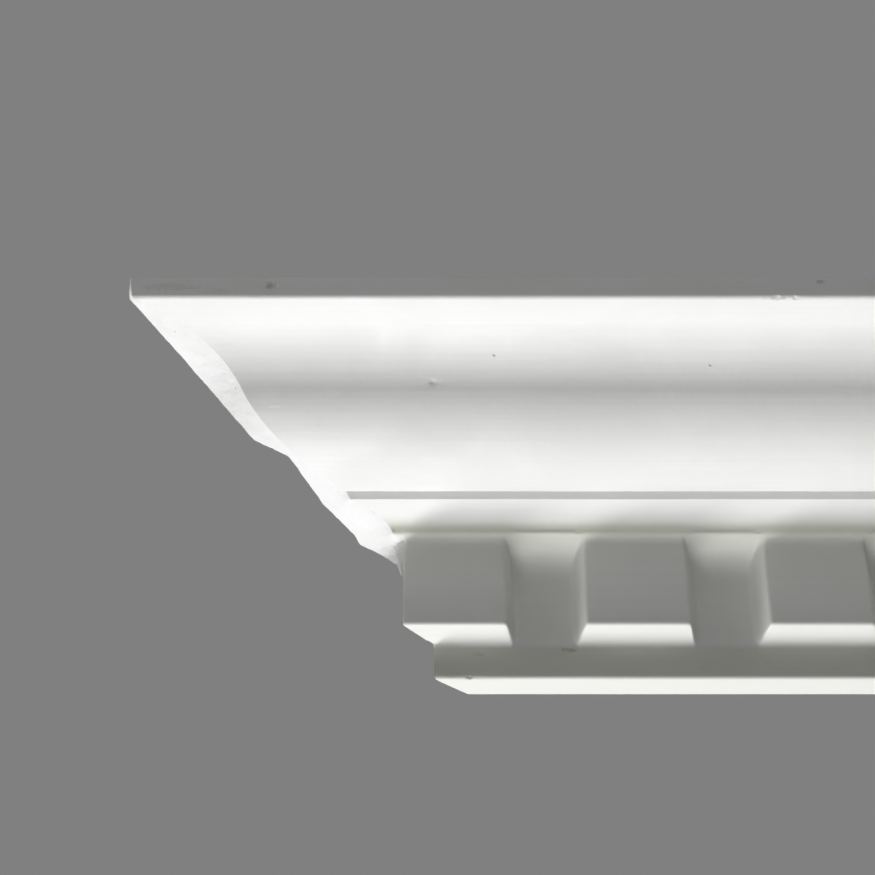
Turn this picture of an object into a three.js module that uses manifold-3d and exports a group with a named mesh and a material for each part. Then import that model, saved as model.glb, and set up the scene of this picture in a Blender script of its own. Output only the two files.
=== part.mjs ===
// A length of cast plaster dentil cornice for the angle between a wall and a ceiling, in millimetres.
// It is one casting: a top fascia, a hollow and belly, a quirk, a small bed mould, a row of dentils and a
// lower fascia. The left end is mitred for an outside corner and roughly trimmed; the right end is square.
// Worked frame: x runs along the length from the front top corner of the mitre, y is minus the projection
// from the wall, and z is the height from the ceiling. The mesh is then placed with its origin on the wall bed.

import * as THREE from "three";
import { mergeVertices } from "three/addons/utils/BufferGeometryUtils.js";
import Module from "manifold-3d";

// Projection of the section, in steps outwards from the wall.
const LOWER_FASCIA_OUT = 12.9;
const DENTIL_STAND_OUT = 12.2;
const FILLET_OUT = 3.8;
const CAVETTO_REACH = 9.1;
const BED_SOFFIT_WIDTH = 6.4;
const QUIRK_SET = 1.5;
const BELLY_REACH = 37.1;
const HOLLOW_REACH = 21;
const TOP_SOFFIT_WIDTH = 15;
const TOP_FASCIA_BATTER = 1;

// Drop of the section, in steps downwards from the ceiling.
const TOP_FASCIA_HEIGHT = 8.4;
const HOLLOW_DROP = 14.4;
const BELLY_DROP = 21.6;
const QUIRK_HEIGHT = 2.7;
const BED_SOFFIT_FALL = 0.7;
const CAVETTO_DROP = 5.2;
const FILLET_FALL = 1;
const DENTIL_HEIGHT = 35.5;
const DENTIL_UNDERSIDE_FALL = 2.8;
const LOWER_FASCIA_HEIGHT = 13.8;
const BOTTOM_SOFFIT_FALL = 0.5;

// The hidden back: two flat beds for the adhesive, joined by a plain slope.
const CEILING_BED_WIDTH = 40;
const WALL_BED_HEIGHT = 60;

// The ogee: how steep it runs where the hollow turns into the belly, and how full its curves are.
const OGEE_STEEPEST_DEG = 62;
const HOLLOW_FLAT_PULL = 4.9;
const HOLLOW_STEEP_PULL = 11;
const BELLY_STEEP_PULL = 6.2;
const BELLY_FLAT_PULL = 24;
const BELLY_END_DEG = 6;

// The dentil course.
const DENTIL_WIDTH = 38.8;
const DENTIL_PITCH = 68.6;
const DENTIL_COUNT = 13;
const DENTIL_SIDE_DRAFT = 3.3;
const GAP_COVE_DROP = 10.8;
const FIRST_DENTIL_PAST_MITRE = 0.4;

// Worn edges.
const ARRIS = 0.8;

// The trimmed arris of the mitre. The sawn face leaves the front edge of the cut along the rake, left and
// back. The saw made several straight cuts: each entry gives how far down the section (recess plus drop) a
// cut ends and how wide the sawn face is there. The blade ran back and up through the plaster.
const TRIM_RAKE = new THREE.Vector3(-0.55, 0.84, 0).normalize();
const SAW_RUN = new THREE.Vector3(-0.08, 0.843, 0.532).normalize();
const TRIM_CUTS = [
  [0, 0.4],
  [8, 2.4],
  [80, 10.6],
  [94, 3],
  [117, 14],
  [134, 17.6],
  [139, 20],
  [148, 14.5],
  [158, 3.5],
  [164, 0.4],
];
const TRIM_LEAST_WIDTH = 0.4;

// How closely the trimmed face is stepped along the dentil's front.
const TRIM_STATION = 5;

// The far face of the trimmed lip, as shares of its width: how far it runs back and up to the mitre's plane,
// and how far the lip is rooted behind that plane.
const TRIM_FOOT_BACK = 0.5;
const TRIM_FOOT_RISE = 0.35;
const TRIM_ROOT = 0.2;

// How finely the curves are cut into facets.
const OGEE_STEPS = 16;
const COVE_STEPS = 8;

// How far a cutting or joining solid runs past the face that it works on.
const OVERRUN = 50;

// Levels and projections that follow from the steps.
const dentilOut = LOWER_FASCIA_OUT + DENTIL_STAND_OUT;
const filletOut = dentilOut + FILLET_OUT;
const cavettoOut = filletOut + CAVETTO_REACH;
const bedSoffitOut = cavettoOut + BED_SOFFIT_WIDTH;
const quirkOut = bedSoffitOut + QUIRK_SET;
const ogeeTurnOut = quirkOut + BELLY_REACH;
const hollowOut = ogeeTurnOut + HOLLOW_REACH;
const fasciaFootOut = hollowOut + TOP_SOFFIT_WIDTH;
const projection = fasciaFootOut + TOP_FASCIA_BATTER;

const topSoffitZ = -TOP_FASCIA_HEIGHT;
const ogeeTurnZ = topSoffitZ - HOLLOW_DROP;
const bellyEndZ = ogeeTurnZ - BELLY_DROP;
const quirkFootZ = bellyEndZ - QUIRK_HEIGHT;
const cavettoTopZ = quirkFootZ - BED_SOFFIT_FALL;
const filletZ = cavettoTopZ - CAVETTO_DROP;
const dentilTopZ = filletZ - FILLET_FALL;
const dentilFootZ = dentilTopZ - DENTIL_HEIGHT;
const undersideBackZ = dentilFootZ - DENTIL_UNDERSIDE_FALL;
const lowerFasciaFootZ = undersideBackZ - LOWER_FASCIA_HEIGHT;
const bottomZ = lowerFasciaFootZ - BOTTOM_SOFFIT_FALL;
const wallBedTopZ = bottomZ + WALL_BED_HEIGHT;

const firstDentilX = projection - dentilOut + FIRST_DENTIL_PAST_MITRE + DENTIL_WIDTH / 2;
const length = firstDentilX + DENTIL_PITCH * (DENTIL_COUNT - 0.5);

const wasm = await Module();
wasm.setup();

// A closed geometry as a solid that can be cut and joined.
function solidFrom(geometry) {
  const bare = geometry.index ? geometry.toNonIndexed() : geometry.clone();
  bare.deleteAttribute("normal");
  bare.deleteAttribute("uv");
  const merged = mergeVertices(bare, 1e-4);
  return new wasm.Manifold(
    new wasm.Mesh({
      numProp: 3,
      vertProperties: new Float32Array(merged.attributes.position.array),
      triVerts: new Uint32Array(merged.index.array),
    }),
  );
}

// The solid's own triangles as a geometry with flat faces.
function geometryFrom(solid) {
  const mesh = solid.getMesh();
  const geometry = new THREE.BufferGeometry();
  geometry.setAttribute("position", new THREE.BufferAttribute(mesh.vertProperties, 3));
  geometry.setIndex(new THREE.BufferAttribute(mesh.triVerts, 1));
  const flat = geometry.toNonIndexed();
  flat.computeVertexNormals();
  return flat;
}

// A solid through rings of points that all have the same count, closed flat at both ends.
function loft(rings) {
  const size = rings[0].length;
  const points = rings.flat();
  const index = [];
  for (let r = 0; r + 1 < rings.length; r++) {
    for (let i = 0; i < size; i++) {
      const a = r * size + i;
      const b = r * size + ((i + 1) % size);
      index.push(a, b, b + size, a, b + size, a + size);
    }
  }
  const last = (rings.length - 1) * size;
  for (let i = 1; i + 1 < size; i++) {
    index.push(0, i + 1, i, last, last + i, last + i + 1);
  }
  const geometry = new THREE.BufferGeometry().setFromPoints(points);
  geometry.setIndex(index);
  return geometry;
}

// Points of the hollow and belly, from the top soffit down to the quirk.
function ogeePoints() {
  const steep = THREE.MathUtils.degToRad(OGEE_STEEPEST_DEG);
  const flat = THREE.MathUtils.degToRad(BELLY_END_DEG);
  const start = new THREE.Vector2(hollowOut, topSoffitZ);
  const turn = new THREE.Vector2(ogeeTurnOut, ogeeTurnZ);
  const end = new THREE.Vector2(quirkOut, bellyEndZ);
  const down = new THREE.Vector2(-Math.cos(steep), -Math.sin(steep));
  const inward = new THREE.Vector2(-Math.cos(flat), -Math.sin(flat));
  const hollow = new THREE.CubicBezierCurve(
    start,
    start.clone().add(new THREE.Vector2(-HOLLOW_FLAT_PULL, 0)),
    turn.clone().addScaledVector(down, -HOLLOW_STEEP_PULL),
    turn,
  );
  const belly = new THREE.CubicBezierCurve(
    turn,
    turn.clone().addScaledVector(down, BELLY_STEEP_PULL),
    end.clone().addScaledVector(inward, -BELLY_FLAT_PULL),
    end,
  );
  return [...hollow.getPoints(OGEE_STEPS), ...belly.getPoints(OGEE_STEPS).slice(1)];
}

// Points of a quarter hollow that leaves a soffit level and ends plumb, further in and further down.
function covePoints(outStart, zStart, reach, drop) {
  const arc = new THREE.EllipseCurve(outStart, zStart - drop, reach, drop, Math.PI / 2, Math.PI);
  return arc.getPoints(COVE_STEPS);
}

// The face of the casting above the dentil course, from the ceiling down to the foot of the fillet.
function upperFace() {
  return [
    new THREE.Vector2(projection, 0),
    new THREE.Vector2(fasciaFootOut, topSoffitZ + ARRIS),
    new THREE.Vector2(fasciaFootOut - ARRIS, topSoffitZ),
    ...ogeePoints(),
    new THREE.Vector2(bedSoffitOut, quirkFootZ),
    ...covePoints(cavettoOut, cavettoTopZ, CAVETTO_REACH, CAVETTO_DROP),
    new THREE.Vector2(dentilOut, dentilTopZ),
  ];
}

// The whole section through a gap between two dentils, with the hidden back.
function gapSection() {
  return [
    ...upperFace(),
    ...covePoints(dentilOut, dentilTopZ, DENTIL_STAND_OUT, GAP_COVE_DROP).slice(1),
    new THREE.Vector2(LOWER_FASCIA_OUT, lowerFasciaFootZ + ARRIS),
    new THREE.Vector2(LOWER_FASCIA_OUT - ARRIS, lowerFasciaFootZ),
    new THREE.Vector2(0, bottomZ),
    new THREE.Vector2(0, wallBedTopZ),
    new THREE.Vector2(projection - CEILING_BED_WIDTH, 0),
  ];
}

// The running part of the casting, from the corner to the square end.
function runningLength() {
  const bar = new THREE.ExtrudeGeometry(new THREE.Shape(gapSection()), {
    depth: length,
    steps: 1,
    bevelEnabled: false,
  });
  const turned = new THREE.Matrix4().makeBasis(
    new THREE.Vector3(0, -1, 0),
    new THREE.Vector3(0, 0, 1),
    new THREE.Vector3(-1, 0, 0),
  );
  bar.applyMatrix4(turned);
  bar.translate(length, 0, 0);
  return solidFrom(bar);
}

// One dentil's outline at a projection out from the wall, a little smaller where its front edge is worn.
function dentilRing(centreX, out, worn) {
  const back = dentilOut - out;
  const half = DENTIL_WIDTH / 2 + (DENTIL_SIDE_DRAFT * back) / DENTIL_STAND_OUT - worn;
  const foot = dentilFootZ - (DENTIL_UNDERSIDE_FALL * back) / DENTIL_STAND_OUT + worn;
  const top = dentilTopZ + FILLET_FALL + CAVETTO_DROP / 2;
  return [
    new THREE.Vector3(centreX - half, -out, foot),
    new THREE.Vector3(centreX - half, -out, top),
    new THREE.Vector3(centreX + half, -out, top),
    new THREE.Vector3(centreX + half, -out, foot),
  ];
}

// A dentil, rooted half way into the lower fascia behind it.
function dentil(centreX) {
  const rings = [
    dentilRing(centreX, dentilOut, ARRIS),
    dentilRing(centreX, dentilOut - ARRIS, 0),
    dentilRing(centreX, LOWER_FASCIA_OUT / 2, 0),
  ];
  return solidFrom(loft(rings));
}

// What the mitre saw takes off: everything to the left of the line at 45 degrees from the front corner.
function mitreWaste() {
  const plan = new THREE.Shape([
    new THREE.Vector2(projection + OVERRUN, OVERRUN),
    new THREE.Vector2(-OVERRUN, OVERRUN),
    new THREE.Vector2(-OVERRUN, -projection - OVERRUN),
  ]);
  const waste = new THREE.ExtrudeGeometry(plan, {
    depth: 2 * OVERRUN - bottomZ,
    steps: 1,
    bevelEnabled: false,
  });
  waste.translate(0, 0, bottomZ - OVERRUN);
  return solidFrom(waste);
}

// How far down the section a point of the mitre's front edge lies.
function downSection(point) {
  return projection - point.x - point.y;
}

// The front edge of the mitre, down to where the trimmed face ends on the first dentil.
function mitreEdge() {
  const trimEnd = TRIM_CUTS[TRIM_CUTS.length - 1][0];
  const edge = upperFace();
  const steps = Math.ceil((trimEnd - downSection(edge[edge.length - 1])) / TRIM_STATION);
  const foot = new THREE.Vector2(dentilOut, projection - dentilOut - trimEnd);
  const top = edge[edge.length - 1].clone();
  for (let i = 1; i <= steps; i++) {
    edge.push(top.clone().lerp(foot, i / steps));
  }
  return edge;
}

// A point of the section on the plane of the mitre.
function onMitre(point) {
  return new THREE.Vector3(projection - point.x, -point.x, point.y);
}

// The outer ends of the saw's cuts.
function cutEnds(edge) {
  return TRIM_CUTS.map(([distance, width]) => {
    const found = edge.findIndex((point) => downSection(point) >= distance);
    const after = found < 1 ? (found < 0 ? edge.length - 1 : 1) : found;
    const from = downSection(edge[after - 1]);
    const share = Math.min((distance - from) / (downSection(edge[after]) - from), 1);
    const start = edge[after - 1].clone().lerp(edge[after], share);
    return onMitre(start).addScaledVector(TRIM_RAKE, width);
  });
}

// Width of the sawn face at a point of the edge, out to the plane of the cut that made it.
function sawnWidth(point, ends) {
  const distance = downSection(point);
  let cut = 0;
  while (cut < TRIM_CUTS.length - 2 && distance > TRIM_CUTS[cut + 1][0]) {
    cut += 1;
  }
  const plane = ends[cut + 1].clone().sub(ends[cut]).cross(SAW_RUN);
  const gap = ends[cut].clone().sub(onMitre(point));
  return Math.max(plane.dot(gap) / plane.dot(TRIM_RAKE), TRIM_LEAST_WIDTH);
}

// The rough lip that trimming left along the mitre: its near face slopes left and back from the front
// edge, and its far face runs back to the plane of the mitre.
function trimmedLip() {
  const line = mitreEdge();
  const ends = cutEnds(line);
  const rings = line.map((point) => {
    const width = sawnWidth(point, ends);
    const edge = onMitre(point);
    const ridge = edge.clone().addScaledVector(TRIM_RAKE, width);
    const footY = ridge.y + TRIM_FOOT_BACK * width;
    const footZ = Math.min(ridge.z + TRIM_FOOT_RISE * width, 0);
    const foot = new THREE.Vector3(projection + footY, footY, footZ);
    const root = edge.clone().lerp(foot, 0.5);
    root.add(new THREE.Vector3(TRIM_ROOT * width, -TRIM_ROOT * width, 0));
    return [edge, ridge, foot, root];
  });
  return solidFrom(loft(rings));
}

function buildCornice() {
  let casting = runningLength();
  for (let i = 0; i < DENTIL_COUNT; i++) {
    casting = casting.add(dentil(firstDentilX + i * DENTIL_PITCH));
  }
  casting = casting.subtract(mitreWaste());
  casting = casting.add(trimmedLip());
  return geometryFrom(casting);
}

const plaster = new THREE.MeshStandardMaterial({
  color: 0xf1f1ec,
  roughness: 0.62,
  metalness: 0,
});

const cornice = new THREE.Mesh(buildCornice(), plaster);
cornice.name = "cornice";
cornice.position.set(-(projection + length) / 2, 0, -(bottomZ + wallBedTopZ) / 2);

const part = new THREE.Group();
part.add(cornice);

export default part;
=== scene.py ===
"""A length of cast plaster dentil cornice, mitred and roughly trimmed at its left end."""

import math

import bmesh
import bpy
from bpy.props import FloatProperty, FloatVectorProperty, IntProperty, PointerProperty
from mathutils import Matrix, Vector, noise


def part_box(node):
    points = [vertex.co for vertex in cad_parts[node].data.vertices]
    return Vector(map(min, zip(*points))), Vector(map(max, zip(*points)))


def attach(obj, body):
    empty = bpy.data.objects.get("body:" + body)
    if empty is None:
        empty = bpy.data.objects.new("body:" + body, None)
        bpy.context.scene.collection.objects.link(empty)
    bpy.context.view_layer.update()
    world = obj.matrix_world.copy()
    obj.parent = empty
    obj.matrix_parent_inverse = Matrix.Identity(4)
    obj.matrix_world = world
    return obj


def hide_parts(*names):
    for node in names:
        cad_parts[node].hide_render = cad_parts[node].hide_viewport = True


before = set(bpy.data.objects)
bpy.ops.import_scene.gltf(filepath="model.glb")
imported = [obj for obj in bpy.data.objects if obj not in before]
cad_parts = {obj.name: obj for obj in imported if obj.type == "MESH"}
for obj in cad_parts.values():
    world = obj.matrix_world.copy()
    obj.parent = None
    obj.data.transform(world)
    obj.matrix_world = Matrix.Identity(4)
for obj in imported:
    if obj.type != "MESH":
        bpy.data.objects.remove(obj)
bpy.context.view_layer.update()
LOW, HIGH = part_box("cornice")

bl_info = {
    "name": "Plaster dentil cornice",
    "version": (1, 0, 0),
    "blender": (4, 5, 0),
    "location": "3D View > Sidebar > Cornice",
    "description": "Models a mitred length of cast plaster dentil cornice, its plaster and a small studio",
    "category": "Object",
}


def length(name, description, millimetres):
    """A length property whose default is given in millimetres."""
    return FloatProperty(
        name=name,
        description=description,
        default=millimetres / 1000,
        precision=5,
        unit="LENGTH",
    )


def angle(name, description, degrees):
    """An angle property whose default is given in degrees."""
    return FloatProperty(
        name=name, description=description, default=math.radians(degrees), subtype="ANGLE"
    )


def colour(name, description, value):
    """A colour property."""
    return FloatVectorProperty(
        name=name, description=description, default=value, size=3, min=0, max=1, subtype="COLOR"
    )


class SectionSizes(bpy.types.PropertyGroup):
    """Steps of the moulded section, outwards from the wall and downwards from the ceiling."""

    lower_fascia_out: length("Lower fascia out", "Thickness of the casting at the lower fascia", 12.9)
    dentil_stand: length("Dentil stand", "How far a dentil stands out of the lower fascia", 12.2)
    fillet_out: length("Fillet out", "Width of the fillet's soffit in front of the dentils", 3.8)
    cavetto_reach: length("Cavetto reach", "How far the cavetto reaches out", 9.1)
    bed_soffit: length("Bed soffit", "Width of the flat soffit above the cavetto", 6.4)
    quirk_set: length("Quirk set", "How far the quirk leans out over its height", 1.5)
    belly_reach: length("Belly reach", "How far the belly of the ogee reaches out", 37.1)
    hollow_reach: length("Hollow reach", "How far the hollow of the ogee reaches out", 21)
    top_soffit: length("Top soffit", "Width of the soffit behind the top fascia", 15)
    fascia_batter: length("Fascia batter", "How far the top fascia leans out towards the ceiling", 1)
    fascia_height: length("Fascia height", "Height of the top fascia", 8.4)
    hollow_drop: length("Hollow drop", "Drop of the hollow", 14.4)
    belly_drop: length("Belly drop", "Drop of the belly", 21.6)
    quirk_height: length("Quirk height", "Height of the quirk", 2.7)
    bed_soffit_fall: length("Bed soffit fall", "Fall of the bed soffit towards the wall", 0.7)
    cavetto_drop: length("Cavetto drop", "Drop of the cavetto", 5.2)
    fillet_fall: length("Fillet fall", "Fall of the fillet's soffit towards the wall", 1)
    lower_fascia_height: length("Lower fascia height", "Height of the lower fascia", 13.8)
    bottom_fall: length("Bottom fall", "Fall of the bottom soffit towards the wall", 0.5)
    ceiling_bed: length("Ceiling bed", "Width of the flat bed against the ceiling", 40)
    wall_bed: length("Wall bed", "Height of the flat bed against the wall", 60)
    arris: length("Arris", "Radius of the worn outer edges", 1.6)
    fillet_edge: length("Fillet edge", "Radius of the fillet's worn edge", 1.5)
    fine_edge: length("Fine edge", "Radius of the small edges at the quirk and the beds", 0.5)
    row_spacing: length("Row spacing", "Distance between the rows of faces on the moulded side", 2.6)
    back_spacing: length("Back spacing", "Distance between the rows of faces on the hidden side", 9)


class OgeeShape(bpy.types.PropertyGroup):
    """How full the hollow and the belly are."""

    steepest: angle("Steepest", "Slope where the hollow turns into the belly", 62)
    belly_end: angle("Belly end", "Slope where the belly meets the quirk", 6)
    hollow_flat_pull: length("Hollow flat pull", "How long the hollow stays level under the soffit", 4.9)
    hollow_steep_pull: length("Hollow steep pull", "How long the hollow stays steep above the turn", 11)
    belly_steep_pull: length("Belly steep pull", "How long the belly stays steep below the turn", 6.2)
    belly_flat_pull: length("Belly flat pull", "How long the belly stays level before the quirk", 24)
    steps: IntProperty(name="Steps", description="Rows of faces in each half of the ogee", default=18)


class DentilSizes(bpy.types.PropertyGroup):
    """The dentil course."""

    width: length("Width", "Width of a dentil's front", 38.8)
    pitch: length("Pitch", "Distance from one dentil to the next", 68.6)
    height: length("Height", "Height of a dentil's front", 35.5)
    underside_fall: length("Underside fall", "Fall of the underside towards the wall", 2.8)
    side_draft: length("Side draft", "How much wider each side is at its root", 3.3)
    cove_drop: length("Cove drop", "Drop of the cove above each gap", 10.8)
    past_mitre: length("Past the mitre", "How far the first dentil starts behind the mitre", 0.4)
    arris: length("Arris", "Radius of the front's worn edges", 1.6)
    root: length("Root", "Radius of the soft hollow round a dentil's root", 2.6)
    top_root: length("Top root", "Radius of the soft hollow under the fillet", 2.8)
    underside_root: length("Underside root", "Radius of the soft hollow behind the underside", 1.9)
    narrowing: FloatProperty(
        name="Narrowing",
        description="How far the side's columns close up where the side runs out",
        default=0.7,
    )
    softening: IntProperty(name="Softening", description="How often the top junction is evened", default=6)
    column_spacing: length("Column spacing", "Distance between the columns of faces", 6)
    count: IntProperty(name="Count", description="Dentils in the whole length", default=13)


class TrimSizes(bpy.types.PropertyGroup):
    """The rough lip that trimming left along the mitre."""

    left: FloatProperty(name="Left", description="Share of the rake that runs left", default=-0.55)
    back: FloatProperty(name="Back", description="Share of the rake that runs back", default=0.84)
    saw_run: FloatVectorProperty(
        name="Saw run",
        description="Direction in which the saw ran",
        default=(-0.08, 0.843, 0.532),
        size=3,
    )
    foot_back: FloatProperty(name="Foot back", description="Run of the far face, by width", default=0.5)
    foot_rise: FloatProperty(name="Foot rise", description="Rise of the far face, by width", default=0.35)
    root: FloatProperty(name="Root", description="Depth of the lip's root, by width", default=0.2)
    station: length("Station", "Distance between the saw's stations along the lip", 0.9)
    across: IntProperty(name="Across", description="Faces across the sawn face", default=9)
    evening: IntProperty(name="Evening", description="How often the sawn face is evened out", default=45)
    fade: IntProperty(name="Fade", description="Faces across which the section's steps die out", default=4)
    chatter: length("Chatter", "Depth of the saw's marks", 0.5)
    chatter_length: length("Chatter length", "Length of the saw's marks", 5)
    grain: length("Grain", "Depth of the broken grain between the marks", 0.3)
    grain_length: length("Grain length", "Length of the broken grain", 1.2)
    sink: length("Sink", "How far the lip starts inside the casting's edge", 0.04)
    dentil_sink: length("Dentil sink", "How far it starts inside the dentil's worn edge", 1.3)
    sink_depth: length("Sink depth", "Height over which it reaches that depth", 3)


class CastingFinish(bpy.types.PropertyGroup):
    """How uneven the casting is."""

    wander: length("Wander", "Depth of the long waves along the casting", 0.22)
    wander_length: length("Wander length", "Length of the long waves", 70)
    ripple: length("Ripple", "Depth of the short ripples", 0.07)
    ripple_length: length("Ripple length", "Length of the short ripples", 14)
    smooth_angle: angle("Smooth angle", "Edges sharper than this stay crisp", 38)


class PlasterLooks(bpy.types.PropertyGroup):
    """Colours and finish of the plaster, with the colours of its painted shade."""

    cast: colour("Cast", "Colour of the cast face", (0.89, 0.893, 0.885))
    # Also the colour towards which the foot is painted darker, as painted shade.
    shade: colour("Shade", "Colour of the greyer clouds in the cast face", (0.80, 0.81, 0.765))
    sawn: colour("Sawn", "Colour of freshly sawn plaster", (0.88, 0.882, 0.88))
    back: colour("Back", "Colour of the struck back", (0.74, 0.73, 0.69))
    back_shade: colour("Back shade", "Colour of the damp patches on the back", (0.60, 0.585, 0.53))
    # Also the colour of the painted shade at the foot and in the air holes.
    grime_and_shade: colour("Grime", "Colour of handling marks and grime", (0.36, 0.36, 0.27))
    # Painted shade with a yellow tint: the bed mould above the dentils is painted darker and olive along its
    # whole length, by the bed share, and the course share makes the dentil course a little darker and
    # yellower.
    yellowed_shade: colour("Yellowed", "Colour of old mould oil in the bed mould", (0.55, 0.57, 0.30))
    bed_shade_share: FloatProperty(name="Bed share", description="Yellowing of the bed mould", default=0.3)
    course_share: FloatProperty(name="Course share", description="Yellowing of the dentils", default=0.07)
    cast_roughness: FloatProperty(name="Cast roughness", description="Cast face", default=0.5)
    sawn_roughness: FloatProperty(name="Sawn roughness", description="Sawn faces", default=0.88)
    back_roughness: FloatProperty(name="Back roughness", description="Struck back", default=0.8)
    # Painted shade: below the foot height the face is painted darker and greyer, and it is left light again
    # on the edge below.
    foot: length("Foot", "Height below which the face is greyer from handling", -17.5)
    foot_blend: length("Foot blend", "Depth over which that begins", 2.5)
    foot_edge: length("Foot edge", "Height of the cleaner edge below that", 0.6)
    grain_size: length("Grain size", "Size of the grain in the cast face", 0.5)
    hole_spacing: length("Hole spacing", "Distance between air holes", 13)
    hole_radius: length("Hole radius", "Radius of the largest air holes", 0.6)
    cloud_size: length("Cloud size", "Size of the clouds in the cast face", 45)


class StudioSettings(bpy.types.PropertyGroup):
    """Camera, lights and floor."""

    focal: FloatProperty(name="Focal length", description="In millimetres, on a 36 mm sensor", default=74.06)
    elevation: angle("Elevation", "How steeply the camera looks up", 32)
    distance: length("Distance", "Camera to the front top corner, along the view", 636.6)
    floor_drop: length("Floor drop", "Floor below the wall bed's centre", 2400)
    backdrop: FloatProperty(name="Backdrop", description="Brightness behind the object", default=0.2159)
    floor_glow: FloatProperty(name="Floor", description="Brightness of the floor", default=0.5)
    ambient: FloatProperty(name="Ambient", description="Brightness of the room's light", default=0.004)
    key_watts: FloatProperty(name="Key", description="Power of the soft light from below", default=51.8)
    low_watts: FloatProperty(name="Low", description="Power of the light below in front", default=10)
    left_watts: FloatProperty(name="Left", description="Power of the light from the left", default=6.2)
    high_watts: FloatProperty(name="High", description="Power of the light above in front", default=7.8)
    top_watts: FloatProperty(name="Top", description="Power of the light above and behind", default=26)
    end_watts: FloatProperty(name="End", description="Power of the light beyond the square end", default=30)


GROUPS = {
    "cornice_section": SectionSizes,
    "cornice_ogee": OgeeShape,
    "cornice_dentils": DentilSizes,
    "cornice_trim": TrimSizes,
    "cornice_finish": CastingFinish,
    "cornice_plaster": PlasterLooks,
    "cornice_studio": StudioSettings,
}

MILLIMETRE = 0.001

# The cuts of the trimming saw, in millimetres: how far down the section (recess plus drop) each one ends
# and how wide the sawn face is there. Between its ends a cut's outer edge runs straight.
TRIM_CUTS = (
    (0, 0.4),
    (8, 2.4),
    (80, 10.6),
    (94, 3),
    (117, 14),
    (134, 17.6),
    (139, 20),
    (148, 14.5),
    (158, 3.5),
    (164, 0.4),
)

# Small breaks in the plaster, in millimetres: place, radius, depth and the way that the face gives.
BLEMISHES = (
    ((-439.3, -84.2, 55.9), 1.6, 0.45, (0, 0.88, 0.47)),
    ((-496.1, -119.7, 73.2), 1.9, 0.8, (0, 1, 0)),
    ((-441.5, -13.4, -15.6), 2.4, 1.4, (1, 0.6, 0.5)),
    ((-425.8, -12.9, -29.0), 1.1, 0.5, (0, 0.8, 0.6)),
    ((-318.0, -118.6, 68.2), 1.6, 0.5, (0, 0.7, 0.7)),
    ((-311.5, -118.6, 68.2), 1.1, 0.4, (0, 0.7, 0.7)),
    ((-455.3, -25.1, 12.1), 1.5, 0.6, (0.6, 0.8, 0)),
)

# A break is cut finer over its spread, in radii, and pushed in by rings; its rim is ragged by noise.
BLEMISH_SPREAD = 1.6
BLEMISH_CUTS = 7
BLEMISH_RINGS = 5
BLEMISH_RAGGED = 0.5
BLEMISH_PATTERN = 700

# Marks on the cast face, in millimetres: centre, reach, how dark (below nothing: lighter) and relief.
MARKS = (
    ((-439.3, -84.2, 55.9), (1.5, 1.1, 1.1), 0.12, 0),
    ((-496.1, -119.7, 73.2), (2.2, 1.5, 1.8), 0.3, 0),
    ((-497.8, -79.2, 48.3), (3.4, 0.8, 0.35), -0.6, 0),
    ((-302.6, -119.8, 74.6), (1.5, 1.5, 1.0), 0.4, 0),
    ((-318.0, -118.6, 68.2), (4.5, 1.2, 0.8), 0.35, 0),
    ((-425.8, -12.9, -29.0), (1.4, 1.4, 1.2), 0.5, 0),
    ((-387.6, -12.9, -17.7), (4.0, 1.5, 0.8), 0.45, 0.2),
    ((-441.5, -13.4, -15.6), (1.8, 1.5, 1.5), 0.6, 0.3),
    ((-454.5, -25.1, 11.5), (1.6, 2.0, 4.0), 0.28, 0),
    ((-422.1, -12.9, -19.7), (2.2, 1.5, 0.9), 0.25, 0),
    ((-532.0, -119.6, 72.6), (11.0, 1.5, 1.7), 0.14, 0),
    ((-515.0, -119.5, 70.9), (7.0, 1.5, 1.2), 0.1, 0),
)

# The photograph's side in pixels, and where the front top corner of the mitre stands in it.
IMAGE_SIDE = 875
CORNER_PIXEL = (131, 277)

# Lights by name: width, depth and place, in metres. The first ones stand round the stretch that the
# photograph shows, which has its middle this far from the mitre's corner, and the others round the origin.
SHOWN_FROM_CORNER = 0.17
SHOWN_LIGHTS = (
    ("key", 0.62, 1.9, (-0.55, 0.5, -2.15)),
    ("low", 0.9, 0.9, (-0.3, -0.7, -2.0)),
    ("left", 1.4, 0.8, (-2.1, -0.5, -0.25)),
    ("high", 1.6, 0.6, (-0.1, -1.1, 1.5)),
)
WHOLE_LIGHTS = (
    ("top", 2.0, 1.5, (0.2, 1.4, 1.8)),
    ("end", 1.2, 1.2, (3.0, 0.5, 1.1)),
)
FLOOR_SIDE = 12

# Heights of the rows on a dentil's front beside the cove, as angles of the cove's arc.
COVE_ROWS = (44, 34, 24, 12, 0)

# Lengths that count as nothing, the merging distance of the joined bays, and how far the waves of the
# face keep from the flat beds and the square end.
TINY = 1e-6
SEAM = 1e-5
BED_MARGIN = 0.002

# The soft junction above a dentil reaches this many top root radii up and down.
SOFT_REACH = 1.3

WHITE = (1, 1, 1)


def settings(name):
    """One of the scene's groups of sizes."""
    return getattr(bpy.context.scene, name)


# Selecting and moving, as by hand


def deselect():
    """Nothing is selected and no mesh is being edited."""
    if bpy.context.mode != "OBJECT":
        bpy.ops.object.mode_set(mode="OBJECT")
    bpy.ops.object.select_all(action="DESELECT")


def choose(piece):
    """Selects one piece alone and makes it the active one."""
    deselect()
    piece.select_set(True)
    bpy.context.view_layer.objects.active = piece


def edit(piece):
    """Opens one piece's mesh, with nothing in it selected."""
    choose(piece)
    bpy.ops.object.mode_set(mode="EDIT")
    bpy.ops.mesh.select_mode(type="VERT")
    bpy.ops.mesh.select_all(action="DESELECT")


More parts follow.
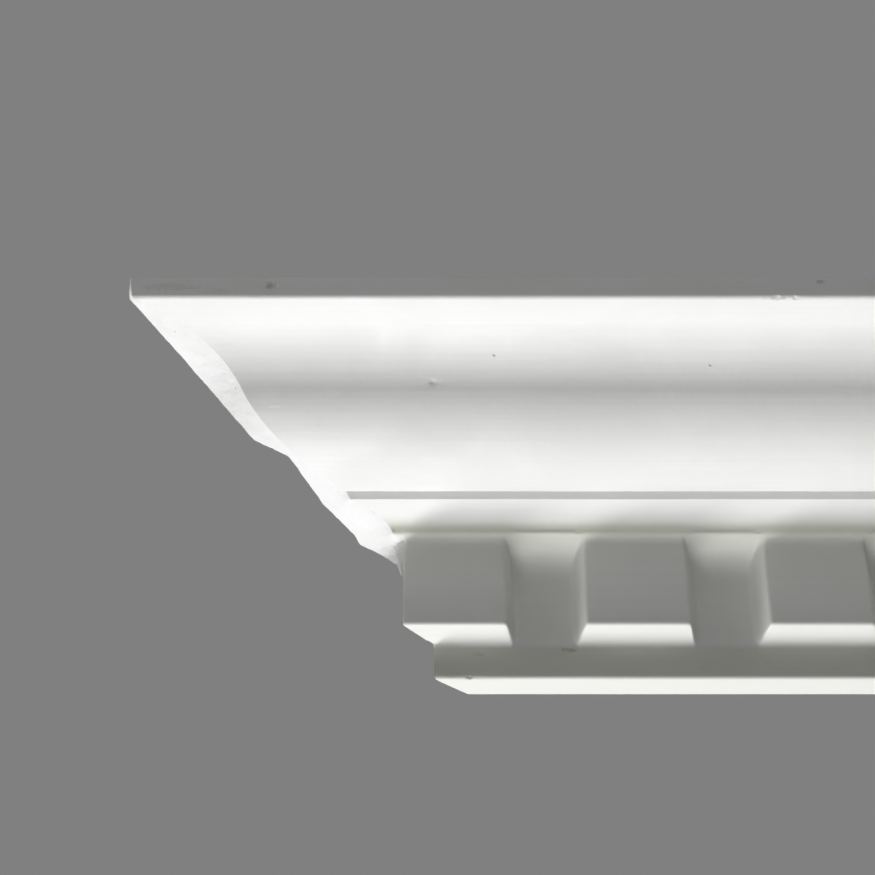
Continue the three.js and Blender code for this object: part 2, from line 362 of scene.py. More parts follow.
def pick(test, kind="verts"):
    """Selects the open mesh's vertices, edges or faces that pass a test, and says how many there are."""
    bpy.ops.mesh.select_mode(type={"verts": "VERT", "edges": "EDGE", "faces": "FACE"}[kind])
    bpy.ops.mesh.select_all(action="DESELECT")
    mesh = bmesh.from_edit_mesh(bpy.context.edit_object.data)
    chosen = [item for item in getattr(mesh, kind) if test(item)]
    for item in chosen:
        item.select = True
    mesh.select_flush_mode()
    return len(chosen)


def take(numbers):
    """Selects the open mesh's vertices with these numbers."""
    bpy.ops.mesh.select_all(action="DESELECT")
    mesh = bmesh.from_edit_mesh(bpy.context.edit_object.data)
    mesh.verts.ensure_lookup_table()
    for number in numbers:
        mesh.verts[number].select = True


def shift(numbers, offset):
    """Moves some of the open mesh's vertices."""
    take(numbers)
    bpy.ops.transform.translate(value=offset)


def widen(numbers, factor, centre):
    """Spreads or closes some of the open mesh's vertices along X, about a centre."""
    take(numbers)
    bpy.ops.transform.resize(value=(factor, 1, 1), center_override=centre)


def apply_modifier(piece, kind, **values):
    """Adds a modifier with these values and applies it."""
    choose(piece)
    modifier = piece.modifiers.new(kind.title(), kind)
    for name, value in values.items():
        setattr(modifier, name, value)
    bpy.ops.object.modifier_apply(modifier=modifier.name)


def duplicate(piece, name):
    """A copy of a piece with its own mesh."""
    choose(piece)
    bpy.ops.object.duplicate()
    copy = bpy.context.view_layer.objects.active
    copy.name = name
    return copy


# The outline of the section


def rounded_outline(stops, spacing):
    """Points along an outline. A stop is a point, the radius of the arc at it and the arc's steps."""
    line = []
    for i, (point, radius, steps) in enumerate(stops):
        if not radius:
            line.append(point)
            continue
        before = (stops[i - 1][0] - point).normalized()
        after = (stops[i + 1][0] - point).normalized()
        half = before.angle(after) / 2
        reach = radius / math.tan(half)
        centre = point + (before + after).normalized() * radius / math.sin(half)
        start = point + before * reach
        end = point + after * reach
        for step in range(steps + 1):
            ray = start.lerp(end, step / steps) - centre
            line.append(centre + ray.normalized() * radius)
    full = [line[0]]
    for point in line[1:]:
        last = full[-1]
        pieces = max(1, round((point - last).length / spacing))
        full.extend(last.lerp(point, (i + 1) / pieces) for i in range(pieces))
    return full


def bezier(a, b, c, d, steps):
    """Points of a cubic curve after its first one."""
    points = []
    for i in range(1, steps + 1):
        t = i / steps
        u = 1 - t
        points.append(a * u**3 + b * (3 * u * u * t) + c * (3 * u * t * t) + d * t**3)
    return points


def levels():
    """Projections and heights that follow from the section's steps, in the casting's own frame."""
    s = settings("cornice_section")
    d = settings("cornice_dentils")
    at = {"dentil_out": s.lower_fascia_out + s.dentil_stand}
    at["fillet_out"] = at["dentil_out"] + s.fillet_out
    at["cavetto_out"] = at["fillet_out"] + s.cavetto_reach
    at["bed_out"] = at["cavetto_out"] + s.bed_soffit
    at["quirk_out"] = at["bed_out"] + s.quirk_set
    at["turn_out"] = at["quirk_out"] + s.belly_reach
    at["hollow_out"] = at["turn_out"] + s.hollow_reach
    at["fascia_out"] = at["hollow_out"] + s.top_soffit
    at["projection"] = at["fascia_out"] + s.fascia_batter
    drops = (
        s.fascia_height,
        s.hollow_drop,
        s.belly_drop,
        s.quirk_height,
        s.bed_soffit_fall,
        s.cavetto_drop,
        s.fillet_fall,
        d.height,
        d.underside_fall,
        s.lower_fascia_height,
        s.bottom_fall,
    )
    at["ceiling"] = sum(drops) - s.wall_bed / 2
    at["soffit"] = at["ceiling"] - s.fascia_height
    at["turn"] = at["soffit"] - s.hollow_drop
    at["belly_end"] = at["turn"] - s.belly_drop
    at["quirk_foot"] = at["belly_end"] - s.quirk_height
    at["cavetto_top"] = at["quirk_foot"] - s.bed_soffit_fall
    at["fillet"] = at["cavetto_top"] - s.cavetto_drop
    at["dentil_top"] = at["fillet"] - s.fillet_fall
    at["cove_foot"] = at["dentil_top"] - d.cove_drop
    at["dentil_foot"] = at["dentil_top"] - d.height
    at["underside_back"] = at["dentil_foot"] - d.underside_fall
    at["fascia_foot"] = at["underside_back"] - s.lower_fascia_height
    at["bottom"] = at["fascia_foot"] - s.bottom_fall
    run = at["projection"] - at["dentil_out"] + d.past_mitre + d.width / 2
    at["corner_x"] = HIGH.x - run - d.pitch * (d.count - 0.5)
    at["first_dentil_x"] = at["corner_x"] + run
    return at


def point(out, z):
    """A point of the section: its projection from the wall and its height."""
    return Vector((out, z))


def upper_outline(at):
    """The moulded face from the ceiling down to the fillet, as the stops of an outline."""
    s = settings("cornice_section")
    ogee = settings("cornice_ogee")
    start = point(at["hollow_out"], at["soffit"])
    turn = point(at["turn_out"], at["turn"])
    end = point(at["quirk_out"], at["belly_end"])
    down = point(-math.cos(ogee.steepest), -math.sin(ogee.steepest))
    inward = point(-math.cos(ogee.belly_end), -math.sin(ogee.belly_end))
    hollow_flat = start + point(-ogee.hollow_flat_pull, 0)
    hollow_steep = turn - down * ogee.hollow_steep_pull
    belly_steep = turn + down * ogee.belly_steep_pull
    belly_flat = end - inward * ogee.belly_flat_pull
    hollow = bezier(start, hollow_flat, hollow_steep, turn, ogee.steps)
    belly = bezier(turn, belly_steep, belly_flat, end, ogee.steps)
    stops = [
        (point(at["projection"], at["ceiling"]), 0, 0),
        (point(at["fascia_out"], at["soffit"]), s.arris, 4),
        (start, 0, 0),
    ]
    stops += [(p, 0, 0) for p in hollow + belly[:-1]]
    stops += [
        (end, s.fine_edge, 2),
        (point(at["bed_out"], at["quirk_foot"]), s.fine_edge, 3),
        (point(at["cavetto_out"], at["cavetto_top"]), 0, 0),
    ]
    cavetto_steps = 8
    for i in range(1, cavetto_steps):
        turned = math.pi / 2 * i / cavetto_steps
        out = at["cavetto_out"] - s.cavetto_reach * math.sin(turned)
        stops.append((point(out, at["cavetto_top"] - s.cavetto_drop * (1 - math.cos(turned))), 0, 0))
    stops.append((point(at["fillet_out"], at["fillet"]), s.fillet_edge, 4))
    return stops


def moulded_outline(at):
    """The moulded face through the middle of a dentil, down to the foot of the wall bed."""
    s = settings("cornice_section")
    d = settings("cornice_dentils")
    stops = upper_outline(at)
    stops.append((point(at["dentil_out"], at["dentil_top"]), d.top_root, 4))
    for degrees in COVE_ROWS:
        z = at["cove_foot"] + d.cove_drop * math.sin(math.radians(degrees))
        stops.append((point(at["dentil_out"], z), 0, 0))
    stops += [
        (point(at["dentil_out"], at["dentil_foot"]), d.arris, 4),
        (point(s.lower_fascia_out, at["underside_back"]), d.underside_root, 4),
        (point(s.lower_fascia_out, at["fascia_foot"]), s.arris, 4),
        (point(0, at["bottom"]), 0, 0),
    ]
    return rounded_outline(stops, s.row_spacing)


def hidden_outline(at):
    """The wall bed, the slope behind the moulding and the ceiling bed, from the foot back to the front."""
    s = settings("cornice_section")
    stops = [
        (point(0, at["bottom"]), 0, 0),
        (point(0, at["bottom"] + s.wall_bed), 0, 0),
        (point(at["projection"] - s.ceiling_bed, at["ceiling"]), 0, 0),
        (point(at["projection"], at["ceiling"]), 0, 0),
    ]
    return rounded_outline(stops, s.back_spacing)[1:]


def gap_out(z, at):
    """Projection of the face between two dentils at a height."""
    s = settings("cornice_section")
    d = settings("cornice_dentils")
    if z > at["dentil_top"]:
        return at["dentil_out"] + s.fillet_out * (z - at["dentil_top"]) / s.fillet_fall
    if z > at["cove_foot"]:
        risen = (z - at["cove_foot"]) / d.cove_drop
        return at["dentil_out"] - s.dentil_stand * math.sqrt(max(0, 1 - risen * risen))
    return s.lower_fascia_out


def dentil_plan():
    """Half of a dentil in plan: places along the length and how far the face stands out there."""
    s = settings("cornice_section")
    d = settings("cornice_dentils")
    half = d.width / 2
    stops = [
        (Vector((0, s.dentil_stand)), 0, 0),
        (Vector((half, s.dentil_stand)), d.arris, 4),
        (Vector((half + d.side_draft, 0)), d.root, 5),
        (Vector((d.pitch / 2, 0)), 0, 0),
    ]
    return rounded_outline(stops, d.column_spacing)


# Modelling the casting


def model_bay(at):
    """One bay of the casting, from the middle of a gap to the middle of the next."""
    s = settings("cornice_section")
    d = settings("cornice_dentils")
    moulded = moulded_outline(at)
    rows = moulded + hidden_outline(at)
    half = dentil_plan()
    columns = [(-p.x, p.y) for p in reversed(half[1:])] + [(p.x, p.y) for p in half]
    down = len(rows) - 1
    along = len(columns) - 1
    deselect()
    bpy.ops.mesh.primitive_grid_add(x_subdivisions=along, y_subdivisions=down, size=1)
    bay = bpy.context.object
    bay.name = "bay"
    number = {}
    for vertex in bay.data.vertices:
        place = (round((vertex.co.y + 0.5) * down), round((vertex.co.x + 0.5) * along))
        number[place] = vertex.index
    edit(bay)

    # Every row of the grid goes to its place in the section through a gap.
    in_dentil = {}
    for row, place in enumerate(rows):
        out = place.x
        if row < len(moulded) and at["underside_back"] - d.top_root * 2 < place.y < at["fillet"]:
            out = min(place.x, gap_out(place.y, at))
            in_dentil[row] = place.x - out
        offset = (0, -out - (row / down - 0.5), place.y)
        shift([number[row, column] for column in range(along + 1)], offset)

    # Every column goes to its place along the bay.
    for column, (x, stand) in enumerate(columns):
        offset = (at["first_dentil_x"] + x - (column / along - 0.5), 0, 0)
        shift([number[row, column] for row in range(down + 1)], offset)

    # The dentil is drawn forward, column by column, as far as its plan says.
    for row, depth in in_dentil.items():
        if depth < TINY:
            continue
        for column in range(along // 2 + 1):
            x, stand = columns[column]
            if stand > TINY:
                pair = {number[row, column], number[row, along - column]}
                shift(pair, (0, -depth * stand / s.dentil_stand, 0))

    # Its sides flare to the root, above under the cove and below along the underside.
    flat_edge = max(x for x, stand in columns if stand > s.dentil_stand - TINY)
    root_edge = d.width / 2 + d.side_draft
    middle = at["first_dentil_x"]
    for row, depth in in_dentil.items():
        runout = max(0, 1 - depth / s.dentil_stand)
        close = 1 - d.narrowing * runout
        if close > 1 - TINY:
            continue
        under = rows[row].y < at["cove_foot"]
        pivot = root_edge if under else flat_edge
        for side in (-1, 1):
            face = [
                number[row, column]
                for column, (x, stand) in enumerate(columns)
                if x * side > flat_edge + TINY and stand > TINY
            ]
            widen(face, close, (middle + side * pivot, 0, 0))
        if under:
            flat = [
                number[row, column] for column, (x, _) in enumerate(columns) if abs(x) <= flat_edge + TINY
            ]
            spread = (root_edge - (root_edge - flat_edge) * close) / flat_edge
            widen(flat, spread, (middle, 0, 0))

    # The junction under the fillet is filled and soft above each dentil.
    soft = [
        number[row, column]
        for row, place in enumerate(rows[: len(moulded)])
        for column, (x, _) in enumerate(columns)
        if abs(place.y - at["dentil_top"]) < d.top_root * SOFT_REACH and abs(x) < root_edge
    ]
    take(soft)
    bpy.ops.mesh.vertices_smooth(factor=0.5, repeat=d.softening)
    bpy.ops.mesh.select_all(action="SELECT")
    bpy.ops.mesh.remove_doubles(threshold=TINY)
    bpy.ops.mesh.normals_make_consistent(inside=False)
    deselect()
    return bay


def model_mitred_end(bay, at):
    """The first bay carried on to the left and sawn off at 45 degrees."""
    d = settings("cornice_dentils")
    end = duplicate(bay, "mitred_end")
    left = at["first_dentil_x"] - d.pitch / 2
    reach = left - at["corner_x"] + d.column_spacing
    steps = math.ceil(reach / d.column_spacing)
    edit(end)
    pick(lambda edge: all(abs(v.co.x - left) < TINY for v in edge.verts), "edges")
    for _ in range(steps):
        bpy.ops.mesh.extrude_region_move(TRANSFORM_OT_translate={"value": (-reach / steps, 0, 0)})
    bpy.ops.mesh.select_all(action="SELECT")
    bpy.ops.mesh.bisect(
        plane_co=(at["corner_x"], -at["projection"], 0),
        plane_no=(-1, 1, 0),
        use_fill=True,
        clear_outer=True,
    )
    bpy.ops.mesh.select_all(action="SELECT")
    bpy.ops.mesh.remove_doubles(threshold=TINY)
    deselect()
    return end


def mitre_line(at):
    """The mitre's front edge, from the ceiling down to where the trimmed face runs out."""
    t = settings("cornice_trim")
    stops = upper_outline(at)
    stops.append((point(at["dentil_out"], at["dentil_top"]), 0, 0))
    end = at["projection"] - at["dentil_out"] - TRIM_CUTS[-1][0] * MILLIMETRE + at["ceiling"]
    stops.append((point(at["dentil_out"], end), 0, 0))
    return rounded_outline(stops, t.station)


def on_mitre(out, z, at):
    """A place on the mitre's plane, from its projection and its height."""
    return Vector((at["corner_x"] + at["projection"] - out, -out, z))


def evened_line(places, passes):
    """A line with its small steps evened out; its ends stay."""
    for _ in range(passes):
        middle = [(a + b * 2 + c) / 4 for a, b, c in zip(places, places[1:], places[2:])]
        places = [places[0], *middle, places[-1]]
    return places


def ridge_line(line, at):
    """The outer edge of the sawn face: a place for each point of the mitre's front edge."""
    t = settings("cornice_trim")
    rake = Vector((t.left, t.back, 0)).normalized()
    run = Vector(t.saw_run).normalized()
    edges = [on_mitre(place.x, place.y, at) for place in line]
    reach = [at["projection"] - place.x + at["ceiling"] - place.y for place in line]
    last = len(line) - 1
    ends = []
    for distance, width in TRIM_CUTS:
        after = next((i for i in range(1, last) if reach[i] >= distance * MILLIMETRE), last)
        share = (distance * MILLIMETRE - reach[after - 1]) / (reach[after] - reach[after - 1])
        start = edges[after - 1].lerp(edges[after], min(share, 1))
        ends.append(start + rake * width * MILLIMETRE)
    ridge = []
    for edge, distance in zip(evened_line(edges, t.evening), reach):
        cut = 0
        while cut < len(TRIM_CUTS) - 2 and distance > TRIM_CUTS[cut + 1][0] * MILLIMETRE:
            cut += 1
        saw = (ends[cut + 1] - ends[cut]).cross(run)
        width = saw.dot(ends[cut] - edge) / saw.dot(rake)
        ridge.append(edge + rake * max(width, TRIM_CUTS[0][1] * MILLIMETRE))
    return ridge


def model_lip(at):
    """The rough lip left by trimming, as a closed solid rooted behind the mitre."""
    t = settings("cornice_trim")
    line = mitre_line(at)
    ridges = ridge_line(line, at)
    around = t.across + 4
    along = len(line) - 1
    deselect()
    bpy.ops.mesh.primitive_grid_add(x_subdivisions=around, y_subdivisions=along, size=1)
    lip = bpy.context.object
    lip.name = "trimmed_lip"
    number = {}
    start = {}
    for vertex in lip.data.vertices:
        place = (round((vertex.co.y + 0.5) * along), round((vertex.co.x + 0.5) * around))
        number[place] = vertex.index
        start[place] = vertex.co.copy()
    edit(lip)
    evened = evened_line([on_mitre(place.x, place.y, at) for place in line], t.evening)
    for row, (place, ridge, even) in enumerate(zip(line, ridges, evened)):
        below = min(1, max(0, at["dentil_top"] - place.y) / t.sink_depth)
        sink = t.sink + t.dentil_sink * below
        edge = on_mitre(place.x, place.y, at) + Vector((sink, sink / 2, 0))
        width = (ridge - edge).length
        foot_out = -ridge.y - t.foot_back * width
        foot = on_mitre(foot_out, min(ridge.z + t.foot_rise * width, at["ceiling"]), at)
        root = edge.lerp(foot, 0.5) + Vector((t.root * width, -t.root * width, 0))
        ring = [
            edge.lerp(even, min(1, i / t.fade)).lerp(ridge, i / t.across) for i in range(t.across + 1)
        ]
        ring += [ridge.lerp(foot, 0.5), foot, root, edge]
        for column, target in enumerate(ring):
            shift([number[row, column]], target - start[row, column])
    rough = [number[row, column] for row in range(along + 1) for column in range(2, t.across + 1)]
    deselect()
    lip.vertex_groups.new(name="sawn").add(rough, 1, "REPLACE")
    edit(lip)
    bpy.ops.mesh.select_all(action="SELECT")
    bpy.ops.mesh.remove_doubles(threshold=TINY)
    pick(lambda side: side.is_boundary, "edges")
    bpy.ops.mesh.fill_holes(sides=around + 2)
    bpy.ops.mesh.select_all(action="SELECT")
    bpy.ops.mesh.normals_make_consistent(inside=False)
    deselect()
    return lip


def noise_texture(name, size, depth=2):
    """A cloud texture for a Displace modifier, at one size."""
    texture = bpy.data.textures.new(name, "CLOUDS")
    texture.noise_scale = size
    texture.noise_depth = depth
    return texture


def roughen_lip(lip):
    """Saw marks and broken grain on the sawn face."""
    t = settings("cornice_trim")
    coarse = noise_texture("saw chatter", t.chatter_length)
    fine = noise_texture("broken grain", t.grain_length, 3)
    apply_modifier(lip, "DISPLACE", texture=coarse, vertex_group="sawn", strength=t.chatter, mid_level=0.5)
    apply_modifier(lip, "DISPLACE", texture=fine, vertex_group="sawn", strength=t.grain, mid_level=0.5)


def add_lip(end, lip, at):
    """Joins the lip to the mitred end. The end's open side is closed only while that is done."""
    side = at["first_dentil_x"] + settings("cornice_dentils").pitch / 2
    edit(end)
    pick(lambda edge: edge.is_boundary, "edges")
    bpy.ops.mesh.edge_face_add()
    bpy.ops.mesh.select_all(action="SELECT")
    bpy.ops.mesh.normals_make_consistent(inside=False)
    apply_modifier(end, "BOOLEAN", object=lip, operation="UNION", solver="EXACT")
    bpy.data.objects.remove(lip)
    edit(end)
    if not pick(lambda face: all(abs(v.co.x - side) < TINY for v in face.verts), "faces"):
        raise RuntimeError("the mitred end was not joined to its lip")
    bpy.ops.mesh.delete(type="ONLY_FACE")
    bpy.ops.mesh.select_all(action="SELECT")
    bpy.ops.mesh.dissolve_degenerate(threshold=TINY)
    deselect()


def join_casting(bay, end, lip, at):
    """The mitred end with its lip and the run of bays, as one closed casting."""
    d = settings("cornice_dentils")
    add_lip(end, lip, at)
    edit(bay)
    bpy.ops.mesh.select_all(action="SELECT")
    bpy.ops.transform.translate(value=(d.pitch, 0, 0))
    apply_modifier(
        bay,
        "ARRAY",
        count=d.count - 1,
        use_relative_offset=False,
        use_constant_offset=True,
        constant_offset_displace=(d.pitch, 0, 0),
        use_merge_vertices=True,
        merge_threshold=SEAM,
    )
    bay.select_set(True)
    end.select_set(True)
    bpy.context.view_layer.objects.active = bay
    bpy.ops.object.join()
    bay.name = "plaster_cornice"
    edit(bay)
    bpy.ops.mesh.select_all(action="SELECT")
    bpy.ops.mesh.remove_doubles(threshold=SEAM)
    pick(lambda side: side.is_boundary and all(abs(v.co.x - HIGH.x) < SEAM for v in side.verts), "edges")
    bpy.ops.mesh.edge_face_add()
    bpy.ops.mesh.select_all(action="SELECT")
    bpy.ops.mesh.delete_loose(use_verts=True, use_edges=True, use_faces=False)
    bpy.ops.mesh.select_all(action="SELECT")
    bpy.ops.mesh.normals_make_consistent(inside=False)
    if pick(lambda side: not side.is_manifold, "edges"):
        raise RuntimeError("the casting is not closed")
    deselect()
    return bay


def on_moulded_side(place, at):
    """Whether a vertex lies clear of the beds and the square end, which stay flat."""
    clear_of_ceiling = place.z < at["ceiling"] - BED_MARGIN
    return place.y < -BED_MARGIN and clear_of_ceiling and place.x < HIGH.x - BED_MARGIN


def make_uneven(casting, at):
    """The slight waves of a hand cast face. The beds and the square end stay flat."""
    f = settings("cornice_finish")
    moving = [vertex.index for vertex in casting.data.vertices if on_moulded_side(vertex.co, at)]
    casting.vertex_groups.new(name="moulded").add(moving, 1, "REPLACE")
    waves = (("long waves", f.wander_length, f.wander), ("ripples", f.ripple_length, f.ripple))
    for name, size, depth in waves:
        texture = noise_texture(name, size)
        apply_modifier(
            casting, "DISPLACE", texture=texture, vertex_group="moulded", strength=depth, mid_level=0.5
        )


def model_blemish(casting, centre, radius, depth, push):
    """Breaks a little plaster away at a place: the face is cut finer there and pushed in by rings."""
    edit(casting)
    spread = radius * BLEMISH_SPREAD

    def is_near(face):
        half_side = face.calc_perimeter() / 8
        return (face.calc_center_median() - centre).length < spread + half_side

    pick(is_near, "faces")
    bpy.ops.mesh.subdivide(number_cuts=BLEMISH_CUTS, quadcorner="INNERVERT")
    mesh = bmesh.from_edit_mesh(casting.data)
    near = {}
    for vertex in mesh.verts:
        apart = (vertex.co - centre).length
        if apart < spread:
            ragged = 1 + BLEMISH_RAGGED * noise.noise(vertex.co * BLEMISH_PATTERN)
            near[vertex.index] = apart * ragged / radius
    for ring in range(1, BLEMISH_RINGS + 1):
        inside = [index for index, share in near.items() if share < ring / BLEMISH_RINGS]
        shift(inside, push * (depth / BLEMISH_RINGS))
    deselect()


# Nodes shared by the materials


def add_node(tree, kind, sockets=None, **values):
    """Adds a node. Its sockets are linked to other nodes' outputs or set to plain values."""
    item = tree.nodes.new(kind)
    for name, value in values.items():
        setattr(item, name, value)
    for name, value in (sockets or {}).items():
        if isinstance(value, bpy.types.NodeSocket):
            tree.links.new(value, item.inputs[name])
        else:
            item.inputs[name].default_value = value
    return item


def maths(tree, operation, first, second=0.0):
    """The result of a Math node."""
    return add_node(tree, "ShaderNodeMath", {0: first, 1: second}, operation=operation).outputs[0]


def fade(tree, value, start, end, low=0.0, high=1.0):
    """A value that runs from low at the start to high at the end, and no further."""
    sockets = {"Value": value, "From Min": start, "From Max": end, "To Min": low, "To Max": high}
    return add_node(tree, "ShaderNodeMapRange", sockets, interpolation_type="SMOOTHSTEP").outputs["Result"]


def blend_colour(tree, share, first, second):
    """Two colours mixed by a mask. A colour is a node's output or three plain values."""
    mix = add_node(tree, "ShaderNodeMix", data_type="RGBA")
    for socket, value in ((0, share), (6, first), (7, second)):
        if isinstance(value, bpy.types.NodeSocket):
            tree.links.new(value, mix.inputs[socket])
        else:
            mix.inputs[socket].default_value = (*value, 1)
    return mix.outputs[2]


def tint(tree, base, mask, colour, share):
    """A colour with another one laid over it, as strongly as the mask and the share say."""
    return blend_colour(tree, maths(tree, "MULTIPLY", mask, share), base, colour)


def start_group(name, inputs, output):
    """An empty node group: its tree, its inputs by name and the socket of its one output."""
    tree = bpy.data.node_groups.new(name, "ShaderNodeTree")
    for label, kind, default in inputs:
        socket = tree.interface.new_socket(label, in_out="INPUT", socket_type="NodeSocket" + kind)
        socket.default_value = default
    tree.interface.new_socket(output, in_out="OUTPUT", socket_type="NodeSocketFloat")
    source = tree.nodes.new("NodeGroupInput")
    sink = tree.nodes.new("NodeGroupOutput")
    return tree, source.outputs, sink.inputs[0]


PLACE = ("Vector", "Vector", (0, 0, 0))


def grain_group():
    """Fine grain of set plaster, with a softer unevenness under it."""
    tree, given, out = start_group("plaster grain", (PLACE, ("Size", "Float", 0.0005)), "Height")
    scale = maths(tree, "DIVIDE", 1.0, given["Size"])
    sockets = {"Vector": given["Vector"], "Scale": scale, "Detail": 3.0, "Roughness": 0.6}
    fine = add_node(tree, "ShaderNodeTexNoise", sockets)
    wide = maths(tree, "MULTIPLY", scale, 0.11)
    soft = add_node(tree, "ShaderNodeTexNoise", {"Vector": given["Vector"], "Scale": wide, "Detail": 2.0})
    total = maths(tree, "ADD", maths(tree, "MULTIPLY", fine.outputs["Fac"], 0.35), soft.outputs["Fac"])
    tree.links.new(total, out)
    return tree


def air_hole_group():
    """Air holes: one in each of some of the cells, of different sizes."""
    sockets = (PLACE, ("Spacing", "Float", 0.013), ("Radius", "Float", 0.0008), ("Share", "Float", 0.6))
    tree, given, out = start_group("air holes", sockets, "Mask")
    scale = maths(tree, "DIVIDE", 1.0, given["Spacing"])
    cells = add_node(tree, "ShaderNodeTexVoronoi", {"Vector": given["Vector"], "Scale": scale})
    apart = maths(tree, "MULTIPLY", cells.outputs["Distance"], given["Spacing"])
    chance = add_node(tree, "ShaderNodeSeparateColor", {"Color": cells.outputs["Color"]})
    size = maths(tree, "MULTIPLY", given["Radius"], fade(tree, chance.outputs[0], 0.0, 1.0, 0.35, 1.0))
    hole = fade(tree, maths(tree, "DIVIDE", apart, size), 1.0, 0.6)
    kept = maths(tree, "LESS_THAN", chance.outputs[1], given["Share"])
    tree.links.new(maths(tree, "MULTIPLY", hole, kept), out)
    return tree


def cloud_group():
    """Soft clouds of a second tone."""
    tree, given, out = start_group("clouds", (PLACE, ("Size", "Float", 0.045)), "Mask")
    sockets = {
        "Vector": given["Vector"],
        "Scale": maths(tree, "DIVIDE", 1.0, given["Size"]),
        "Detail": 4.0,
        "Roughness": 0.55,
        "Distortion": 0.6,
    }
    clouds = add_node(tree, "ShaderNodeTexNoise", sockets)
    tree.links.new(fade(tree, clouds.outputs["Fac"], 0.38, 0.68), out)
    return tree


def drag_group():
    """Faint lines along the run, left by the mould and by the strickle."""
    sockets = (PLACE, ("Length", "Float", 0.09), ("Pitch", "Float", 0.0014))
    tree, given, out = start_group("drag lines", sockets, "Height")
    along = maths(tree, "DIVIDE", 1.0, given["Length"])
    across = maths(tree, "DIVIDE", 1.0, given["Pitch"])
    scale = add_node(tree, "ShaderNodeCombineXYZ", {"X": along, "Y": across, "Z": across})
    sockets = {0: given["Vector"], 1: scale.outputs[0]}
    stretched = add_node(tree, "ShaderNodeVectorMath", sockets, operation="MULTIPLY")
    sockets = {"Vector": stretched.outputs[0], "Scale": 1.0, "Detail": 2.0}
    lines = add_node(tree, "ShaderNodeTexNoise", sockets)
    tree.links.new(lines.outputs["Fac"], out)
    return tree


def mark_group():
    """One small mark with an uneven rim at a place on the face."""
    sockets = (PLACE, ("Centre", "Vector", (0, 0, 0)), ("Reach", "Vector", (0.002, 0.002, 0.002)))
    tree, given, out = start_group("mark", sockets, "Mask")
    kind = "ShaderNodeVectorMath"
    away = add_node(tree, kind, {0: given["Vector"], 1: given["Centre"]}, operation="SUBTRACT")
    shares = add_node(tree, kind, {0: away.outputs[0], 1: given["Reach"]}, operation="DIVIDE")
    apart = add_node(tree, kind, {0: shares.outputs[0]}, operation="LENGTH")
    rim = add_node(tree, "ShaderNodeTexNoise", {"Vector": given["Vector"], "Scale": 900.0, "Detail": 2.0})
    unevenness = fade(tree, rim.outputs["Fac"], 0.3, 0.7, -0.35, 0.35)
    ragged = maths(tree, "ADD", apart.outputs["Value"], unevenness)
    tree.links.new(fade(tree, ragged, 1.1, 0.5), out)
    return tree


def use_group(tree, group, **sockets):
    """The one output of a shared group, placed in a material with its own values."""
    return add_node(tree, "ShaderNodeGroup", sockets, node_tree=group).outputs[0]


def bump(tree, height, distance, normal=None):
    """A normal with this relief on it."""
    sockets = {"Height": height, "Distance": distance, "Strength": 1.0}
    if normal:
        sockets["Normal"] = normal
    return add_node(tree, "ShaderNodeBump", sockets).outputs["Normal"]


def sink(tree, mask, depth, normal):
    """A normal with the masked places sunk by a depth."""
    return bump(tree, maths(tree, "SUBTRACT", 1.0, mask), depth, normal)


class Plaster:
    """One kind of plaster: a material with its tree and shader, and the effects that all kinds share."""

    def __init__(self, name, groups, roughness):
        self.looks = settings("cornice_plaster")
        self.groups = groups
        self.roughness = roughness
        self.material = bpy.data.materials.new(name)
        self.material.use_nodes = True
        self.tree = self.material.node_tree
        self.shader = self.tree.nodes["Principled BSDF"]
        self.shader.inputs["Roughness"].default_value = roughness
        self.place = add_node(self.tree, "ShaderNodeTexCoord").outputs["Object"]

    def effect(self, group, **sockets):
        """The output of one of the shared groups at the place on the piece."""
        return use_group(self.tree, self.groups[group], Vector=self.place, **sockets)

    def clouds(self, size):
        """Soft clouds, at a share of the usual size."""
        return self.effect("clouds", Size=self.looks.cloud_size * size)

    def grain(self, size):
        """Grain, at a share of the usual size."""
        return self.effect("grain", Size=self.looks.grain_size * size)

    def holes(self, spacing, radius, kept):
        """Air holes, at shares of the usual spacing and radius, in this share of the cells."""
        spacing = self.looks.hole_spacing * spacing
        radius = self.looks.hole_radius * radius
        return self.effect("holes", Spacing=spacing, Radius=radius, Share=kept)

    def finish(self, base, normal, clouds, smoother, rougher):
        """Links the colour, the normal and a roughness that the clouds vary."""
        low = self.roughness - smoother
        high = self.roughness + rougher
        varied = fade(self.tree, clouds, 0.0, 1.0, low, high)
        for socket, output in (("Base Color", base), ("Roughness", varied), ("Normal", normal)):
            self.tree.links.new(output, self.shader.inputs[socket])
        return self.material


def shaded_foot(tree, height, looks):
    """Where the foot of the face is painted darker as shade, down to just above its lower edge."""
    low = fade(tree, height, looks.foot + looks.foot_blend, looks.foot)
    edge = fade(tree, height, LOW.z + looks.foot_edge, LOW.z + looks.foot_edge + MILLIMETRE)
    return maths(tree, "MULTIPLY", low, edge)


def bed_shade_and_yellowing(tree, height, looks, at):
    """How far the face is painted darker and yellower: most in the bed mould, as painted shade, and a little
    all over the dentil course.
    """
    down = fade(tree, height, at["cavetto_top"] + 0.2 * MILLIMETRE, at["fillet"] + 1.6 * MILLIMETRE)
    up = fade(tree, height, at["dentil_top"] - 2 * MILLIMETRE, at["fillet"])
    bed = maths(tree, "MULTIPLY", maths(tree, "MULTIPLY", down, up), looks.bed_shade_share)
    course = fade(tree, height, at["cavetto_top"], at["fillet"], 0.0, looks.course_share)
    return maths(tree, "MAXIMUM", bed, course)


